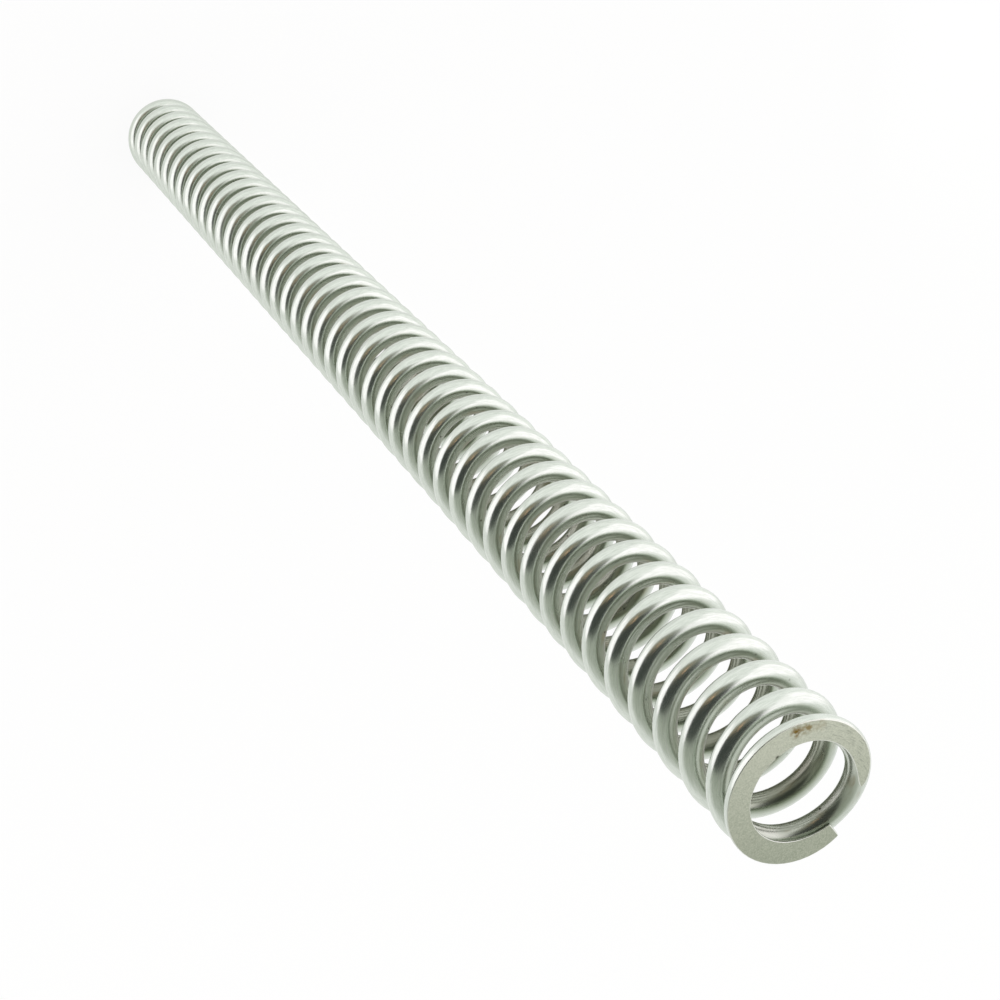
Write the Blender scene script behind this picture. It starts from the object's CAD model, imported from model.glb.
"""The look of a fork spring: one coiled and ground length of bright spring-steel wire."""

from math import acos, ceil, cos, pi, radians, sin

import bpy
from mathutils import Matrix, Quaternion, Vector


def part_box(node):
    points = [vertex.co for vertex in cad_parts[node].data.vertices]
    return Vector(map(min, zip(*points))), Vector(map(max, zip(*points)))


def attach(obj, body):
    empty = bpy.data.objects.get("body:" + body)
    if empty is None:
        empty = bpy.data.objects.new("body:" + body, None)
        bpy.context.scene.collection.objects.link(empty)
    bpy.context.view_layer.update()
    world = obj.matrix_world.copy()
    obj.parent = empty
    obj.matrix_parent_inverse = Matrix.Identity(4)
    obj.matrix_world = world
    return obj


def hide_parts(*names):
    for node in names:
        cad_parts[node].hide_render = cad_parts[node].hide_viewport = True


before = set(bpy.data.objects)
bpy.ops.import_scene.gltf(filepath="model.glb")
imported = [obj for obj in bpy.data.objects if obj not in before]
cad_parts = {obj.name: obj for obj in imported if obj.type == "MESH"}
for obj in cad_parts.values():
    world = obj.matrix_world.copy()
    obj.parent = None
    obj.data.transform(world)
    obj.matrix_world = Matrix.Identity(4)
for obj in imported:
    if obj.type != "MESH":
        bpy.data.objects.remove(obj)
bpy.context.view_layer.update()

# ------------------------------------------------------------------------------------------------
# The coiled wire
# ------------------------------------------------------------------------------------------------
# The whole spring is one length of round spring-steel wire, coiled right-hand at an even pitch.  Its
# last turn at each end is closed onto the turn next to it, and both ends are then ground square,
# which thins the wire to a blunt tip.

MM = 0.001
lowest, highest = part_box("spring")
outer_diameter = highest.x - lowest.x
free_length = highest.z
wire_diameter = 5.0 * MM
total_turns = 46.25  # from tip to tip
closed_turns = 0.76  # at each end, before the coil starts to open
opening_turns = 0.1  # over which it opens to the working pitch
sag_turns = 0.62  # behind the tip, over which the closed turn is pressed in a little
end_sag = 0.95 * MM  # at the most
tip_thickness = 1.0 * MM  # of the steel that the grinding leaves at the tip
tip_gap = 0.4 * MM  # between the tip and the turn that it is closed onto
rim_break = 0.16 * MM  # how far the deburring reaches from the rims of a ground face
cut_break = 0.22 * MM  # and the radius of the rounded edge of the wire's cut end

wire_radius = wire_diameter / 2
coil_radius = (outer_diameter - wire_diameter) / 2
turn_length = 2 * pi * coil_radius
tip_height = tip_thickness - wire_radius  # of the wire's centre above the ground face
first_turn_rise = wire_diameter + tip_gap
shut_turns = closed_turns + opening_turns / 2
pitch = (free_length - 2 * tip_height - 2 * first_turn_rise) / (total_turns - 2)
closed_pitch = (first_turn_rise - (1 - shut_turns) * pitch) / shut_turns

# The mesh is skinned over one section of the wire after another.  A section is cut flat where the
# grinding took the steel away.
points_round = 32  # round the wire
face_points = 5  # across a ground face
rings_per_turn = 60
ground_rings = 76  # along each ground stretch, closest where it runs out


def end_turn_sag(turns):
    """How far the closed turn is pressed in behind the tip, and how that changes per turn."""
    if turns > sag_turns:
        return 0, 0
    back = 1 - turns / sag_turns
    steepness = end_sag / (sag_turns * 4 / 27)  # so that its most, a third of the way, is end_sag
    return steepness * turns * back**2, steepness * (back**2 - 2 * back * turns / sag_turns)


def climb(turns):
    """The height of the wire's centre this many turns from a tip, and its rise per turn there."""
    opened = closed_turns + opening_turns
    if turns < closed_turns:
        sag, sag_rise = end_turn_sag(turns)
        return tip_height + closed_pitch * turns + sag, closed_pitch + sag_rise
    height = tip_height + closed_pitch * closed_turns
    if turns < opened:
        past = turns - closed_turns
        more = (pitch - closed_pitch) * past / opening_turns
        return height + past * (closed_pitch + more / 2), closed_pitch + more
    height += opening_turns * (closed_pitch + pitch) / 2
    return height + (turns - opened) * pitch, pitch


def wire_at(turns):
    """The wire's centre, its direction, and the two directions that its section lies in."""
    height, rise = climb(min(turns, total_turns - turns))
    if turns > total_turns / 2:
        height = free_length - height
    angle = 2 * pi * turns
    outward = Vector((cos(angle), sin(angle), 0))
    forward = Vector((-sin(angle) * turn_length, cos(angle) * turn_length, rise)).normalized()
    return outward * coil_radius + Vector((0, 0, height)), forward, outward, outward.cross(forward)


def steel_left(turns):
    """How far the ground plane is from the wire's centre, where 1 is its radius and leaves it whole."""
    return climb(min(turns, total_turns - turns))[0] / (wire_radius * wire_at(turns)[3].z)


def section(turns, inset=0):
    """The points round one section, from its ground side: where each is, and which way it faces.

    An inset draws the whole outline in, off the skin and off the ground plane alike.
    """
    centre, forward, outward, upward = wire_at(turns)
    end = -1 if turns < total_turns / 2 else 1
    radius = wire_radius - inset
    left = (steel_left(turns) * wire_radius - inset) / radius

    def on_skin(angle):
        facing = outward * cos(angle) + upward * sin(angle)
        return centre + facing * radius, facing

    if left > 1 - 1e-9:
        return [on_skin(end * pi / 2 + 2 * pi * k / points_round) for k in range(points_round)]

    half_gap = acos(left)
    half_width = radius * sin(half_gap)
    setback = min(rim_break, half_width / 3)
    start = half_gap + setback / radius
    arc = 2 * (pi - start)
    skin = [on_skin(end * pi / 2 + start + arc * k / points_round) for k in range(points_round + 1)]

    def on_face(across):
        return centre + outward * end * across + upward * end * left * radius, Vector((0, 0, end))

    def on_rim(edge, corner, other):
        return (edge[0] + corner[0] * 2 + other[0]) / 4, (edge[1] + other[1]).normalized()

    reach = half_width - setback
    face = [on_face(reach * (1 - 2 * k / (face_points - 1))) for k in range(face_points)]
    first_rim = on_rim(skin[-1], on_face(half_width), face[0])
    last_rim = on_rim(face[-1], on_face(-half_width), skin[0])
    return skin + [first_rim] + face + [last_rim]


places = []
facings = []
unrolled = []  # the same points on the wire as it was before coiling: along, across and up
brushed = []  # 1 on a deburred edge, 0 elsewhere
faces = []
finishes = []  # 0 for the drawn skin, 1 for a ground face and its rims


def add_section(turns, cut_facing=None, turned=0):
    """Adds the points of one section, turned by an angle towards the facing of the wire's cut end."""
    centre, forward, outward, upward = wire_at(turns)
    first = len(places)
    rims = (points_round + 1, points_round + face_points + 2)
    for number, (place, facing) in enumerate(section(turns, cut_break * (1 - cos(turned)))):
        if cut_facing:
            facing = facing * cos(turned) + cut_facing * sin(turned)
        places.append(place)
        facings.append(facing)
        offset = place - centre
        unrolled.append((turns * turn_length, offset.dot(outward), offset.dot(upward)))
        brushed.append(float(number in rims or turned == pi / 4))
    return list(range(first, len(places)))


def skin_over(near, far):
    """Skins the stretch between two sections.  A whole one meets a cut one at the cut's last point."""
    full = max(len(near), len(far))
    near, far = [ring + ring[:1] * (full - len(ring)) for ring in (near, far)]
    for k in range(full):
        after = (k + 1) % full
        corners = list(dict.fromkeys((near[k], far[k], far[after], near[after])))
        if len(corners) > 2:
            faces.append(corners)
            finishes.append(int(k >= points_round))  # past the skin lie the rims and the ground face


# Where the ground face runs out, the plane just touches the crest of the wire.
too_near, run_out = 0, 1
while run_out - too_near > 1e-12:
    middle = (too_near + run_out) / 2
    if steel_left(middle) < 1:
        too_near = middle
    else:
        run_out = middle

ground_stations = [run_out * sin(pi / 2 * k / ground_rings) for k in range(1, ground_rings)]
ground_stations = [cut_break / turn_length] + ground_stations
whole_rings = ceil((total_turns - 2 * run_out) * rings_per_turn)
whole_step = (total_turns - 2 * run_out) / whole_rings
whole_stations = [run_out + whole_step * k for k in range(whole_rings + 1)]
stations = ground_stations + whole_stations + [total_turns - t for t in reversed(ground_stations)]

# The rounded edge of a cut end is two sections, one on the cut itself and one halfway round.
cut_edge = [(cut_break / turn_length * (1 - sin(turned)), turned) for turned in (pi / 2, pi / 4)]

first_cut, last = [add_section(turns, -wire_at(0)[1], turned) for turns, turned in cut_edge]
faces.append(first_cut)
finishes.append(0)
skin_over(first_cut, last)
for before, turns in zip([0] + stations, stations):
    if before < total_turns / 2 < turns:
        last = last[points_round // 2 :] + last[: points_round // 2]  # the ground side is now on top
    ring = add_section(turns)
    skin_over(last, ring)
    last = ring
for turns, turned in reversed(cut_edge):
    ring = add_section(total_turns - turns, wire_at(total_turns)[1], turned)
    skin_over(last, ring)
    last = ring
faces.append(last[::-1])
finishes.append(0)

mesh = bpy.data.meshes.new("spring_wire")
mesh.from_pydata(places, [], faces)
mesh.update()
mesh.polygons.foreach_set("material_index", finishes)
mesh.polygons.foreach_set("use_smooth", [True] * len(faces))
mesh.normals_split_custom_set_from_vertices(facings)
straight = mesh.attributes.new("unrolled", "FLOAT_VECTOR", "POINT")
straight.data.foreach_set("vector", [part for point in unrolled for part in point])
mesh.attributes.new("brushed", "FLOAT", "POINT").data.foreach_set("value", brushed)
spring_wire = bpy.data.objects.new("spring_wire", mesh)
bpy.context.scene.collection.objects.link(spring_wire)
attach(spring_wire, "root")
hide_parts("spring")


# The skin is bare high-carbon spring steel, cold drawn through dies, coiled and stress relieved.
# The dies leave it bright, with faint lines along the wire and a fine grain that softens what it
# mirrors.  The inner side of the coil, which nothing wipes, keeps a dull olive film of old oil that
# is a little browner innermost, with brown stains and the first specks of rust.  Fitting and taking
# out the spring has wiped the film thin on the end turns.


def linear(hex_colour):
    """A colour written as sRGB hex, as the linear values that a shader takes."""
    parts = [int(hex_colour[k : k + 2], 16) / 255 for k in (0, 2, 4)]
    return [p / 12.92 if p <= 0.04045 else ((p + 0.055) / 1.055) ** 2.4 for p in parts] + [1]


def add_node(tree, kind, inputs=(), **settings):
    """Adds a node.  An input is a value, an output to link, or a node whose first output is linked."""
    node = tree.nodes.new(kind)
    for name, value in settings.items():
        setattr(node, name, value)
    for name, value in dict(inputs).items():
        if isinstance(value, bpy.types.Node):
            value = value.outputs[0]
        if isinstance(value, bpy.types.NodeSocket):
            tree.links.new(value, node.inputs[name])
        else:
            node.inputs[name].default_value = value
    return node


def drawn_spring_steel():
    material = bpy.data.materials.new("drawn_spring_steel")
    material.use_nodes = True
    tree = material.node_tree
    shader = tree.nodes["Principled BSDF"]
    shader.inputs["Metallic"].default_value = 1

    on_wire = add_node(tree, "ShaderNodeAttribute", attribute_name="unrolled").outputs["Vector"]
    place = add_node(tree, "ShaderNodeVectorMath", {0: on_wire, "Scale": 1 / MM}, operation="SCALE")
    along, outwards, _ = add_node(tree, "ShaderNodeSeparateXYZ", {0: place}).outputs

    # The grain and the die lines are drawn many times coarser than they are, so that they show.
    grain_size = 0.3
    grain_stretch = (0.15, 1, 1)  # drawing pulled the grain out along the wire
    drawn_out = add_node(tree, "ShaderNodeVectorMath", {0: place, 1: grain_stretch}, operation="MULTIPLY")
    grain = add_node(tree, "ShaderNodeTexNoise", {"Vector": drawn_out, "Scale": 1 / grain_size, "Detail": 1})
    line_spacing = 1.1
    line_stretch = (0.02, 1, 1)
    pulled = add_node(tree, "ShaderNodeVectorMath", {0: place, 1: line_stretch}, operation="MULTIPLY")
    lines = add_node(tree, "ShaderNodeTexNoise", {"Vector": pulled, "Scale": 1 / line_spacing, "Detail": 1})
    patch_size = 5
    patch_stretch = (0.35, 1, 1)
    smeared = add_node(tree, "ShaderNodeVectorMath", {0: place, 1: patch_stretch}, operation="MULTIPLY")
    patches = add_node(tree, "ShaderNodeTexNoise", {"Vector": smeared, "Scale": 1 / patch_size, "Detail": 3})

    brighter = add_node(tree, "ShaderNodeMapRange", {"Value": grain, "From Min": 0.35, "From Max": 0.65})
    bare = {0: brighter, 6: linear("ccd3c9"), 7: linear("d7ddd4")}
    bare = add_node(tree, "ShaderNodeMix", bare, data_type="RGBA").outputs[2]

    # The film starts a little outside the middle of the wire and is whole a little inside it.
    inner_side = add_node(tree, "ShaderNodeMapRange", {"Value": outwards, "From Min": 1.1, "From Max": -0.7})
    thickness = {"Value": patches, "From Min": 0.25, "From Max": 0.55, "To Min": 0.7, "To Max": 1}
    thickness = add_node(tree, "ShaderNodeMapRange", thickness)
    film = add_node(tree, "ShaderNodeMath", {0: inner_side, 1: thickness}, operation="MULTIPLY")

    half_wire = total_turns * turn_length / MM / 2
    wiped_length = 40  # of wire from each tip, about half a turn
    untouched_from = 160  # the same way, about two turns
    from_middle = add_node(tree, "ShaderNodeMath", {0: along, 1: half_wire}, operation="SUBTRACT")
    from_middle = add_node(tree, "ShaderNodeMath", {0: from_middle}, operation="ABSOLUTE")
    unwiped = {"From Min": half_wire - wiped_length, "From Max": half_wire - untouched_from}
    unwiped |= {"Value": from_middle, "To Min": 0.35}
    unwiped = add_node(tree, "ShaderNodeMapRange", unwiped)
    film = add_node(tree, "ShaderNodeMath", {0: film, 1: unwiped}, operation="MULTIPLY")

    innermost = {"Value": outwards, "From Min": -0.7, "From Max": -1.9}
    innermost = add_node(tree, "ShaderNodeMapRange", innermost)
    oily = {0: innermost, 6: linear("9fa895"), 7: linear("a3a697")}
    oily = add_node(tree, "ShaderNodeMix", oily, data_type="RGBA").outputs[2]
    filmed = {0: film, 6: bare, 7: oily}
    filmed = add_node(tree, "ShaderNodeMix", filmed, data_type="RGBA").outputs[2]

    stain_size = 2.5
    blots = add_node(tree, "ShaderNodeTexNoise", {"Vector": smeared, "Scale": 1 / stain_size, "Detail": 4})
    stained = {"Value": blots, "From Min": 0.58, "From Max": 0.72, "To Max": 0.5}
    stained = add_node(tree, "ShaderNodeMapRange", stained)
    stained = add_node(tree, "ShaderNodeMath", {0: inner_side, 1: stained}, operation="MULTIPLY")
    browned = {0: stained, 6: filmed, 7: linear("938468")}
    browned = add_node(tree, "ShaderNodeMix", browned, data_type="RGBA").outputs[2]

    # Rust starts at every other point of an uneven grid, as a speck a fifth of the spacing across.
    speck_spacing = 2.6
    specks = add_node(tree, "ShaderNodeTexVoronoi", {"Vector": place, "Scale": 1 / speck_spacing})
    near_one = {"Value": specks, "From Min": 0.13, "From Max": 0.07}
    near_one = add_node(tree, "ShaderNodeMapRange", near_one)
    rusted = add_node(tree, "ShaderNodeSeparateXYZ", {0: specks.outputs["Color"]})
    rusted = add_node(tree, "ShaderNodeMapRange", {"Value": rusted, "From Min": 0.5, "From Max": 0.52})
    speck = add_node(tree, "ShaderNodeMath", {0: near_one, 1: rusted}, operation="MULTIPLY")
    speck = add_node(tree, "ShaderNodeMath", {0: speck, 1: inner_side}, operation="MULTIPLY")
    colour = {0: speck, 6: browned, 7: linear("3a3126")}
    colour = add_node(tree, "ShaderNodeMix", colour, data_type="RGBA").outputs[2]
    tree.links.new(colour, shader.inputs["Base Color"])

    roughness = {"Value": patches, "From Min": 0.3, "From Max": 0.7, "To Min": 0.16, "To Max": 0.26}
    roughness = add_node(tree, "ShaderNodeMapRange", roughness)
    dulled = {"Value": outwards, "From Min": 2.3, "From Max": 0.2, "To Max": 0.07}
    dulled = add_node(tree, "ShaderNodeMapRange", dulled)
    roughness = add_node(tree, "ShaderNodeMath", {0: roughness, 1: dulled}, operation="ADD")
    tree.links.new(roughness.outputs[0], shader.inputs["Roughness"])

    line_depth = 0.0006 * MM
    bump = add_node(tree, "ShaderNodeBump", {"Height": lines, "Distance": line_depth, "Strength": 1})
    tree.links.new(bump.outputs[0], shader.inputs["Normal"])
    return material


# The ends are the same steel, ground on the face of a large wheel, which leaves a dull, even grain
# and fine arcs.  Deburring brushed the rims bright.  On the upper end a few drops have dried to brown
# stains, and there is a small dark nick in the inner rim.


def ground_spring_steel():
    material = bpy.data.materials.new("ground_spring_steel")
    material.use_nodes = True
    tree = material.node_tree
    shader = tree.nodes["Principled BSDF"]
    shader.inputs["Metallic"].default_value = 1

    on_spring = add_node(tree, "ShaderNodeTexCoord").outputs["Object"]
    place = add_node(tree, "ShaderNodeVectorMath", {0: on_spring, "Scale": 1 / MM}, operation="SCALE")
    x, y, _ = add_node(tree, "ShaderNodeSeparateXYZ", {0: place}).outputs

    # The grain and the wheel's marks are drawn coarser than they are, so that they show.
    grain_size = 0.3
    grain = add_node(tree, "ShaderNodeTexNoise", {"Vector": place, "Scale": 1 / grain_size, "Detail": 2})
    brighter = {"Value": grain, "From Min": 0.3, "From Max": 0.7, "To Max": 0.6}
    brighter = add_node(tree, "ShaderNodeMapRange", brighter)

    # The face is a little darker on the side where the wire's tips are.
    tip_side = (0.58, 0.81, 0)
    tipwards = add_node(tree, "ShaderNodeVectorMath", {0: place, 1: tip_side}, operation="DOT_PRODUCT")
    fresher = {"Value": tipwards.outputs["Value"], "From Min": 13, "From Max": -13}
    fresher |= {"To Min": -0.06, "To Max": 0.5}
    fresher = add_node(tree, "ShaderNodeMapRange", fresher)
    brighter = add_node(tree, "ShaderNodeMath", {0: brighter, 1: fresher}, operation="ADD")
    clean = {0: brighter, 6: linear("9ba28f"), 7: linear("d0d3c2")}
    clean = add_node(tree, "ShaderNodeMix", clean, data_type="RGBA").outputs[2]

    # The wheel's marks lie on arcs round one centre.  Each is a few mm long, and they are deepest at
    # one side of the face.
    arc_centre = (12, 6, 0)
    arc_spacing = 0.3
    arc_stretch = 0.12
    flat = add_node(tree, "ShaderNodeVectorMath", {0: place, 1: (1, 1, 0)}, operation="MULTIPLY")
    radius = add_node(tree, "ShaderNodeVectorMath", {0: flat, 1: arc_centre}, operation="DISTANCE")
    along = add_node(tree, "ShaderNodeMath", {0: y, 1: arc_stretch}, operation="MULTIPLY")
    on_arc = add_node(tree, "ShaderNodeCombineXYZ", {0: radius.outputs["Value"], 1: along})
    arcs = add_node(tree, "ShaderNodeTexNoise", {"Vector": on_arc, "Scale": 1 / arc_spacing, "Detail": 2})
    deep = {"Value": arcs, "From Min": 0.52, "From Max": 0.68, "To Max": 0.5}
    deep = add_node(tree, "ShaderNodeMapRange", deep)
    pressed = {"Value": x, "From Min": -9, "From Max": -12.5, "To Min": 0.3, "To Max": 1}
    pressed = add_node(tree, "ShaderNodeMapRange", pressed)
    deep = add_node(tree, "ShaderNodeMath", {0: deep, 1: pressed}, operation="MULTIPLY")
    marked = {0: deep, 6: clean, 7: linear("80857a")}
    marked = add_node(tree, "ShaderNodeMix", marked, data_type="RGBA").outputs[2]

    rim = add_node(tree, "ShaderNodeAttribute", attribute_name="brushed").outputs["Fac"]
    bright = {0: rim, 6: marked, 7: linear("eef0ea")}
    bright = add_node(tree, "ShaderNodeMix", bright, data_type="RGBA").outputs[2]

    # Each spot has its place, how far it reaches, its depth, its colour and what breaks it up.
    upper_end = free_length / MM
    blot_size = 1.1
    blots = add_node(tree, "ShaderNodeTexNoise", {"Vector": place, "Scale": 1 / blot_size, "Detail": 5})
    blots = add_node(tree, "ShaderNodeMapRange", {"Value": blots, "From Min": 0.36, "From Max": 0.58})
    drop = ((-6.3, -12.7, upper_end), 1.8, 1, "7c6530", blots)
    second_drop = ((-8.4, -11.7, upper_end), 1.7, 0.85, "85723f", blots)
    third_drop = ((-10.5, -10.1, upper_end), 1.7, 0.45, "948257", blots)
    nick = ((-0.6, -11.1, upper_end), 0.6, 1, "3a372c", 1)
    colour = bright
    for spot, reach, depth, tint, broken_by in (drop, second_drop, third_drop, nick):
        away = add_node(tree, "ShaderNodeVectorMath", {0: place, 1: spot}, operation="DISTANCE")
        near = {"Value": away.outputs["Value"], "From Min": reach, "From Max": reach / 3, "To Max": depth}
        near = add_node(tree, "ShaderNodeMapRange", near)
        share = add_node(tree, "ShaderNodeMath", {0: near, 1: broken_by}, operation="MULTIPLY")
        tinted = {0: share, 6: colour, 7: linear(tint)}
        colour = add_node(tree, "ShaderNodeMix", tinted, data_type="RGBA").outputs[2]
    tree.links.new(colour, shader.inputs["Base Color"])

    roughness = {"Value": grain, "From Min": 0.3, "From Max": 0.7, "To Min": 0.36, "To Max": 0.5}
    roughness = add_node(tree, "ShaderNodeMapRange", roughness)
    tree.links.new(roughness.outputs[0], shader.inputs["Roughness"])

    mark_depth = 0.003 * MM
    relief = add_node(tree, "ShaderNodeMath", {0: arcs, 1: grain}, operation="ADD")
    bump = add_node(tree, "ShaderNodeBump", {"Height": relief, "Distance": mark_depth, "Strength": 1})
    tree.links.new(bump.outputs[0], shader.inputs["Normal"])
    return material


mesh.materials.append(drawn_spring_steel())
mesh.materials.append(ground_spring_steel())

# ------------------------------------------------------------------------------------------------
# Floor, light and camera
# ------------------------------------------------------------------------------------------------
# The spring stands on one ground end on a wide white table, in soft light.  The table and the light
# are only there to show it, so they aren't part of it.

scene = bpy.context.scene
scene.view_settings.view_transform = "Standard"

floor_mesh = bpy.data.meshes.new("floor")
floor_reach = 6.0  # metres each way
corners = [(x * floor_reach, y * floor_reach, 0) for x, y in ((-1, -1), (1, -1), (1, 1), (-1, 1))]
floor_mesh.from_pydata(corners, [], [(0, 1, 2, 3)])
floor = bpy.data.objects.new("floor", floor_mesh)
scene.collection.objects.link(floor)


# The table is covered in matt white paper.  Most of what the camera and the spring's mirroring see
# of it is plain white, and the rest is the paper as it is lit, which keeps the spring's shadow.


def matt_white_table():
    material = bpy.data.materials.new("matt_white_table")
    material.use_nodes = True
    tree = material.node_tree
    tree.nodes.remove(tree.nodes["Principled BSDF"])
    paper = add_node(tree, "ShaderNodeBsdfDiffuse", {"Color": linear("f8f8f6")})
    glow = add_node(tree, "ShaderNodeEmission", {"Color": linear("ffffff"), "Strength": 1})
    seen = add_node(tree, "ShaderNodeLightPath")
    either = {0: seen.outputs["Is Camera Ray"], 1: seen.outputs["Is Glossy Ray"]}
    shown = add_node(tree, "ShaderNodeMath", either, operation="ADD")
    plain_share = 0.88
    share = add_node(tree, "ShaderNodeMath", {0: shown, 1: plain_share}, operation="MULTIPLY")
    mix = add_node(tree, "ShaderNodeMixShader", {0: share, 1: paper, 2: glow})
    output = tree.nodes["Material Output"]
    tree.links.new(mix.outputs[0], output.inputs["Surface"])
    return material


floor_mesh.materials.append(matt_white_table())

# The light is that of a white light tent that lies along the spring, with its floor behind it.  Its
# two side walls have a lamp behind them and are the brightest, and its roof is a little less bright.
# The front of the tent, beyond the upper end of the spring, has an opening to a dark room, which
# draws the dark band on every coil.  A small warm lamp in that room, and its glow on the wall there,
# draw the copper streak in the band.  The table in front of the opening is a dull grey-green.

top_of_spring = Vector((0, 0, free_length))
towards_roof = Vector((cos(radians(-125.5)), sin(radians(-125.5)), 0))
towards_right = towards_roof.cross(Vector((0, 0, 1)))

world = bpy.data.worlds.new("light_tent")
scene.world = world
world.use_nodes = True
tree = world.node_tree
direction = add_node(tree, "ShaderNodeTexCoord").outputs["Generated"]
height = add_node(tree, "ShaderNodeVectorMath", {0: direction, 1: towards_roof}, operation="DOT_PRODUCT")
floor_glow = 0.98
wall_glow = 1.13
from_floor_to_wall = {"Value": height.outputs["Value"], "From Min": -0.65, "From Max": -0.1}
from_floor_to_wall |= {"To Min": floor_glow, "To Max": wall_glow}
level = add_node(tree, "ShaderNodeMapRange", from_floor_to_wall, interpolation_type="SMOOTHSTEP")
background = tree.nodes["Background"]
background.inputs["Color"].default_value = linear("ffffff")
tree.links.new(level.outputs["Result"], background.inputs["Strength"])


def tent_card(name, corner, along, across, colours, strength, fades=(0.12, 0.12, 0.08, 0.12)):
    """A soft-edged glowing card that the camera doesn't see, from a corner and the two sides at it.

    Each is given in mm as how far it goes to the right, ahead beyond the spring's upper end, and up.
    """
    tent_axes = Matrix((towards_right, Vector((0, 0, 1)), towards_roof)).transposed()
    start = top_of_spring + tent_axes @ Vector(corner) * MM
    sides = [tent_axes @ Vector(side) * MM for side in (along, across)]
    width, height = [side.length for side in sides]
    card_mesh = bpy.data.meshes.new(name)
    card_mesh.from_pydata([(0, 0, 0), (width, 0, 0), (width, height, 0), (0, height, 0)], [], [(0, 1, 2, 3)])
    card = bpy.data.objects.new(name, card_mesh)
    scene.collection.objects.link(card)
    edges = [side.normalized() for side in sides]
    card_axes = Matrix((edges[0], edges[1], edges[0].cross(edges[1]))).transposed()
    card.matrix_world = Matrix.Translation(start) @ card_axes.to_4x4()
    card.visible_camera = False

    material = bpy.data.materials.new(name)
    material.use_nodes = True
    tree = material.node_tree
    tree.nodes.remove(tree.nodes["Principled BSDF"])
    spot = add_node(tree, "ShaderNodeTexCoord").outputs["Generated"]
    on_card = add_node(tree, "ShaderNodeSeparateXYZ", {0: spot}).outputs
    # A card's lower colour turns into its upper one a little below its middle.
    ramp = add_node(tree, "ShaderNodeValToRGB", {"Fac": on_card["Y"]})
    ramp.color_ramp.elements[0].position = 0.36
    ramp.color_ramp.elements[0].color = linear(colours[0])
    ramp.color_ramp.elements[1].position = 0.45
    ramp.color_ramp.elements[1].color = linear(colours[1])
    glow = add_node(tree, "ShaderNodeEmission", {"Color": ramp.outputs["Color"], "Strength": strength})
    x, y = on_card["X"], on_card["Y"]
    solid = 1
    for value, edge, fade in zip((x, x, y, y), (0, 1, 0, 1), fades):
        fading = {"Value": value, "From Min": edge, "From Max": abs(edge - fade)}
        fading = add_node(tree, "ShaderNodeMapRange", fading, interpolation_type="SMOOTHSTEP")
        solid = add_node(tree, "ShaderNodeMath", {0: solid, 1: fading}, operation="MULTIPLY")
    clear = add_node(tree, "ShaderNodeBsdfTransparent")
    mix = add_node(tree, "ShaderNodeMixShader", {0: solid, 1: clear, 2: glow})
    tree.links.new(mix.outputs[0], tree.nodes["Material Output"].inputs["Surface"])
    card_mesh.materials.append(material)


# Each colour is the lower and the upper one of a card.
white = ("ffffff", "ffffff")
lamp_white = ("fff9ff", "fff9ff")  # a trace of violet beside the walls
table_grey = ("b5baaf", "b5baaf")
warm = ("9c8d76", "9c8d76")
orange = ("dcab87", "dcab87")
dark_room = ("454946", "8b8c81")  # it is paler high up
lamp_fades = (0.12, 0.12, 0.08, 0.35)
tent_card("opening", (-340, -115, -60), (490, 475, 0), (0, 0, 680), dark_room, 1, (0.12, 0.16, 0.07, 0.33))
table_fades = (0.5, 0.12, 0.85, 0.02)
tent_card("table_front", (-470, -250, -300), (620, 600, 0), (0, 0, 298), table_grey, 1, table_fades)
tent_card("left_lamp", (-240, -490, -70), (-90, 428, 0), (0, 0, 470), lamp_white, 1.55, lamp_fades)
tent_card("right_lamp", (150, 620, -30), (180, -820, 0), (0, 0, 480), lamp_white, 1.55, lamp_fades)
tent_card("right_wall", (330, -60, -60), (0, -430, 0), (0, 0, 500), white, 1.15)
tent_card("roof", (-300, -490, 430), (0, 490, 0), (640, 0, 0), white, 1.13)
tent_card("warm_glow", (-330, -112, 165), (330, 320, 0), (0, 0, 240), warm, 1, (0.3, 0.5, 0.3, 0.4))
tent_card("warm_lamp", (-145, 62, 200), (50, 48, 0), (0, 0, 24), orange, 2.9, (0.3, 0.3, 0.3, 0.3))

camera_data = bpy.data.cameras.new("camera")
camera = bpy.data.objects.new("camera", camera_data)
scene.collection.objects.link(camera)
scene.camera = camera
camera.location = top_of_spring + Vector((15.2, -261.9, 243.7)) * MM
aim = top_of_spring + Vector((3.6, -8.0, -127.6)) * MM
camera_roll = 136.43
upright = (aim - camera.location).to_track_quat("-Z", "Y")
camera.rotation_mode = "QUATERNION"
camera.rotation_quaternion = upright @ Quaternion((0, 0, 1), radians(camera_roll))
camera_data.sensor_width = 36
camera_data.lens = 67.04
camera_data.clip_start = 10 * MM
